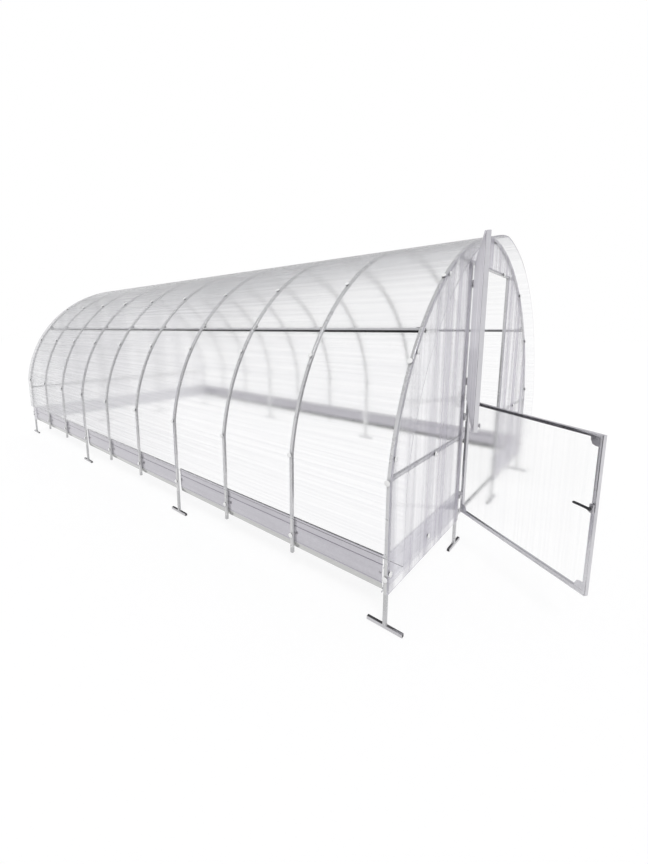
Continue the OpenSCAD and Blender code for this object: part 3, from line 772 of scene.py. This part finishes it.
cap = lathe(washerCap(), washer["steps"])
seal = lathe([(axisHole, 0), (washer["seal"], 0),
              (washer["seal"] * washer["sealBulge"], washer["sealHigh"] / 2),
              (washer["seal"], washer["sealHigh"]), (axisHole, washer["sealHigh"])], washer["steps"])
sides = (-1, 1)
overZ = np.array([washer["high"], *washer["rafters"]])
lean = np.where(overZ > house["eaves"], np.arcsin((overZ - rafterZ) / rafterR), 0)
sheetOut = half + house["seat"] + house["sheet"]
overX, overZ = tunnelX(overZ, 0) + sheetOut * np.cos(lean), overZ + sheetOut * np.sin(lean)
spots = [(s * x, y, z) for y in archYs for s in sides for x, z in zip(overX, overZ)]
outs = [(s * cos(a), 0, sin(a)) for y in archYs for s in sides for a in lean]
spots += [(s * (half - legSide), y, washer["low"]) for y in archYs for s in sides]
outs += [(s, 0, 0) for y in archYs for s in sides]
lintelZ = middle("front_lintel")[2]
wallSpots = [(s * tunnelX(z, 0), z) for s in sides for z in wall["arch"]]
for x, z in ((wall["bar"], house["crossbar"]), (wall["foot"], wall["arch"][0]), (wall["overDoor"], lintelZ)):
    wallSpots += [(s * x, z) for s in sides]
for y, sign in ((frontY, -1), (rearY, 1)):
    spots += [(x, y + sign * sheetOut, z) for x, z in wallSpots]
    outs += [(0, sign, 0)] * len(wallSpots)
for name, shape, material in (("whiteWashers", cap, whiteNylon), ("washerSeals", seal, blackRubber)):
    putPiece(name, [scattered(shape, spots, outs, washer["turn"])], material, sharp=45)
print("washers made:", len(spots))

bolt = {"radius": 0.0052, "high": 0.0036, "crown": 0.86, "crownUp": 0.8, "sides": 6, "flange": 0.0068,
        "flangeHigh": 0.001, "flangeSteps": 14, "turn": (0.3, 0.2, 1.0), "clipReach": 0.020,
        "clipThick": 0.003, "clipEar": 0.017, "strapTurn": 0.018, "strapThick": 0.003,
        "strapOut": (0.62, 0.78), "boardUp": 0.296, "boardAside": 0.0205, "endAside": 0.042}
head = lathe([(axisHole, 0), (bolt["radius"], 0), (bolt["radius"], bolt["high"] * bolt["crownUp"]),
              (bolt["radius"] * bolt["crown"], bolt["high"]), (axisHole, bolt["high"])], bolt["sides"])
flange = lathe([(axisHole, 0), (bolt["flange"], 0), (bolt["flange"], bolt["flangeHigh"]),
                (axisHole, bolt["flangeHigh"])], bolt["flangeSteps"])
boltSpots, boltOuts = [], []


def addBolt(spot, out):
    boltSpots.append(spot)
    boltOuts.append(out)


def atClip(sign, inward, y, along):
    # Distances inwards and along the arch from the purlin's centre, in the tunnel's axes
    inward -= purlinR
    x = rafterX + inward * cos(purlinAngle) + along * sin(purlinAngle)
    z = rafterZ - inward * sin(purlinAngle) + along * cos(purlinAngle)
    return (-sign * x, y, z)


clipHigh = half + bolt["clipThick"]
strapX, strapZ = rafterPoint(ridgeAngle - bolt["strapTurn"], -half - house["seat"] - bolt["strapThick"])
for sign in (-1, 1):
    for number, y in enumerate(archYs):
        toY = -1 if number == len(archYs) - 1 else 1
        addBolt(atClip(sign, 0, y + toY * (half + bolt["clipReach"]), clipHigh),
                (sign * -sin(purlinAngle), 0, cos(purlinAngle)))
        addBolt(atClip(sign, -half, y + toY * clipHigh, half + bolt["clipEar"]), (0, toY, 0))
        addBolt((sign * -strapX, y, strapZ), (-sign * bolt["strapOut"][0], 0, -bolt["strapOut"][1]))
        footed = number % every == 0
        asides = [a for a in (-1, 1) if 0 <= number + a < len(archYs)] if footed else [-1]
        reach = bolt["endAside"] if footed else bolt["boardAside"]
        for aside in asides:
            addBolt((sign * boardFace, y + aside * reach, bolt["boardUp"]), (sign, 0, 0))

bracket = {"arm": 0.030, "thick": 0.0025, "wide": 0.016, "edge": 0.0005, "boltAt": 0.65, "catch": 0.056}
plates = []


def angleBracket(x, z, toX, toZ, y):
    # Two plates at right angles in the corner of two tubes, with a bolt in each
    a, t, w = bracket["arm"], bracket["thick"], bracket["wide"] / 2
    for reachX, reachZ in ((t, a), (a, t)):
        (x0, x1), (z0, z1) = np.sort([[x, x + toX * reachX], [z, z + toZ * reachZ]], axis=1)
        plates.append(block((x0, y - w, z0), (x1, y + w, z1), bracket["edge"]))
    addBolt((x + toX * t, y, z + toZ * a * bracket["boltAt"]), (toX, 0, 0))
    addBolt((x + toX * a * bracket["boltAt"], y, z + toZ * t), (0, 0, toZ))


thresholdZ = middle("door_threshold")[2]
rearBarZ = middle("rear_crossbar")[2]
for sign in (-1, 1):
    outside, inside = sign * (postX + half), sign * (postX - half)
    angleBracket(outside, house["crossbar"] + half, sign, 1, frontY)
    angleBracket(outside, lintelZ - half, sign, -1, frontY)
    angleBracket(outside, rearBarZ + half, sign, 1, rearY)
    angleBracket(outside, lintelZ - half, sign, -1, rearY)
    angleBracket(inside, lintelZ - half, -sign, -1, rearY)
    angleBracket(inside, thresholdZ - half, -sign, -1, frontY)
splitZ = boxOf("lower_leaf_sheet")[1][2]
wide, high = bracket["wide"] / 2, bracket["catch"] / 2
plates.append(block((-postX - half - bracket["thick"], frontY - wide, splitZ - high),
                    (-postX - half, frontY + wide, splitZ + high), bracket["edge"]))
putPiece("angleBrackets", plates, blackCoat)
bolts = [scattered(shape, boltSpots, boltOuts, bolt["turn"]) for shape in (head, flange)]
putPiece("hexBolts", bolts, boltSteel, sharp=25)
print("brackets and bolts made:", len(boltSpots))

weld = {"radius": 0.0022, "clear": 0.0006, "corner": 0.0030, "cornerSteps": 14, "round": 8, "ripple": 0.16,
        "ripples": 26}


def weldBead(x, y, z):
    # Bead round the foot of a tube: a small circle carried round a rounded square, its size rippled by a sine
    line = roundedSquare(house["tube"] + weld["clear"], weld["corner"], weld["cornerSteps"])
    turn = np.linspace(0, 2 * pi, weld["round"], endpoint=False)
    ring = weld["radius"] * np.stack([np.cos(turn), np.sin(turn)], -1)
    swell = 1 + weld["ripple"] * np.sin(np.arange(len(line)) / len(line) * 2 * pi * weld["ripples"])
    path = np.concatenate([line + [x, y], np.full((len(line), 1), z)], 1)
    return loopTube(path, (0, 0, 1), ring, swell)


welded = [(sign * legSide, y) for sign in (-1, 1) for y in archYs[::every]] + ends
putPiece("weldBeads", [weldBead(x, y, house["tube"]) for x, y in welded], tubeSteel, sharp=60)
print("welds made")

ground = {"reach": 60, "level": -0.001, "shadow": 0.22, "glow": 0.80, "plain": 0.75}


def grey(level):
    return (level, level, level, 1.0)


# White floor: seen straight, mirrored or through a sheet it glows, with soft shadows; else it is grey
m = newMaterial("paleStudioFloor")
ray = add(m, "LightPath")
seen = add(m, "Math", {"operation": "MAXIMUM"},
           {0: ray.outputs["Is Camera Ray"], 1: ray.outputs["Is Glossy Ray"]})
seenToo = add(m, "Math", {"operation": "MAXIMUM"}, {0: seen, 1: ray.outputs["Is Transmission Ray"]})
shadowed = add(m, "BsdfDiffuse", {"Color": grey(ground["shadow"])})
glow = add(m, "Emission", {"Strength": ground["glow"]})
white = add(m, "AddShader", {}, {0: shadowed, 1: glow})
plain = add(m, "BsdfDiffuse", {"Color": grey(ground["plain"])})
both = add(m, "MixShader", {}, {"Fac": seenToo, 1: plain, 2: white})
add(m, "OutputMaterial", {}, {"Surface": both})
points = [(*corner, ground["level"]) for corner in (-ground["reach"] * squareCorners).tolist()]
floor = placed(newMesh("studioFloor", points, [(0, 1, 2, 3)], m))

card = {"inset": 0.15, "bottom": 0.45, "top": 1.35, "felt": "101011"}
m = newMaterial("blackCardFelt")
ray = add(m, "LightPath")
mirrored = add(m, "Math", {"operation": "GREATER_THAN", 1: 0.5}, {0: ray.outputs["Glossy Depth"]})
unseen = add(m, "BsdfTransparent")
felt = add(m, "BsdfDiffuse", {"Color": linear(card["felt"])})
both = add(m, "MixShader", {}, {"Fac": mirrored, 1: unseen, 2: felt})
add(m, "OutputMaterial", {}, {"Surface": both})
cardX = house["halfWidth"] - card["inset"]
points, faces = block((-cardX, frontY + card["inset"], card["bottom"]),
                      (cardX, rearY - card["inset"], card["top"]))
blackCard = placed(newMesh("blackCard", points.tolist(), faces.tolist(), m))
# only rays that metal has mirrored see the card, so that bright steel shows dark streaks beside planted beds
blackCard.visible_camera = blackCard.visible_diffuse = False
blackCard.visible_shadow = blackCard.visible_volume_scatter = False

studio = {"fill": 0.72, "fillColour": (0.99, 0.99, 1.0, 1), "sun": 0.9, "sunFrom": (-0.55, -0.45, 0.9),
          "sunSoft": 18, "away": (0.77, 0.64, 0.0), "turns": (-0.1, 0.35),
          "near": [(0.0, "ffffff"), (0.25, "f4f4f6"), (0.6, "c9c9cb"), (1.0, "8d8d8f")],
          "far": [(0.0, "ffffff"), (0.08, "f4f4f6"), (0.17, "e8e8e9"), (0.35, "dadadb"), (1.0, "bababc")]}
world = bpy.data.worlds.new("studio")
bpy.context.scene.world = world
world.use_nodes = True
world.cycles.sampling_method = "NONE"  # else light rays to the world ignore the kinds of ray told apart below
world.node_tree.nodes.clear()
ray = add(world, "LightPath")
seen = add(world, "Math", {"operation": "MAXIMUM"},
           {0: ray.outputs["Is Camera Ray"], 1: ray.outputs["Is Transmission Ray"]})
mirrored = add(world, "Math", {"operation": "GREATER_THAN", 1: 0.5}, {0: ray.outputs["Glossy Depth"]})
fill = add(world, "Background", {"Color": studio["fillColour"], "Strength": studio["fill"]})
view = add(world, "TexCoord").outputs["Generated"]
rays = add(world, "SeparateXYZ", {}, {0: view})
# what metal mirrors: a bright ceiling on the door side and a dark one on the far side
ahead = add(world, "VectorMath", {"operation": "DOT_PRODUCT", 1: studio["away"]}, {0: view})
farShare = add(world, "MapRange", fromRange(studio["turns"]), {"Value": ahead.outputs["Value"]})
near = add(world, "ValToRGB", {"stops": studio["near"]}, {"Fac": rays.outputs["Z"]})
far = add(world, "ValToRGB", {"stops": studio["far"]}, {"Fac": rays.outputs["Z"]})
ceiling = add(world, "Mix", {"data_type": "RGBA"}, {0: farShare, 6: near, 7: far}).outputs[2]
glossy = add(world, "Background", {}, {"Color": ceiling})
back = add(world, "Background", {"Color": grey(1.0)})
fillOrGlossy = add(world, "MixShader", {}, {"Fac": ray.outputs["Is Glossy Ray"], 1: fill, 2: glossy})
behind = add(world, "MixShader", {}, {"Fac": mirrored, 1: back, 2: glossy})
sky = add(world, "MixShader", {}, {"Fac": seen, 1: fillOrGlossy, 2: behind})
add(world, "OutputWorld", {}, {"Surface": sky})

lamp = bpy.data.lights.new("key", "SUN")
lamp.energy = studio["sun"]
lamp.angle = radians(studio["sunSoft"])
placed(lamp).rotation_euler = Vector(studio["sunFrom"]).to_track_quat("Z", "Y").to_euler()

shot = {"fromLeg": (-1.6237, -0.8578, 1.5616), "heading": 50.28, "down": 8.60, "roll": -0.16, "lens": 15.778,
        "sensor": 36, "shift": (0.01131, -0.05205)}
lens = bpy.data.cameras.new("camera")
lens.lens = shot["lens"]
lens.sensor_width = shot["sensor"]
lens.shift_x, lens.shift_y = shot["shift"]
camera = placed(lens)
camera.location = np.array([legSide, frontY, 0]) + shot["fromLeg"]
camera.rotation_euler = (radians(90 - shot["down"]), radians(shot["roll"]), radians(-shot["heading"]))
bpy.context.scene.camera = camera
bpy.context.scene.view_settings.view_transform = "Standard"
print("studio made")
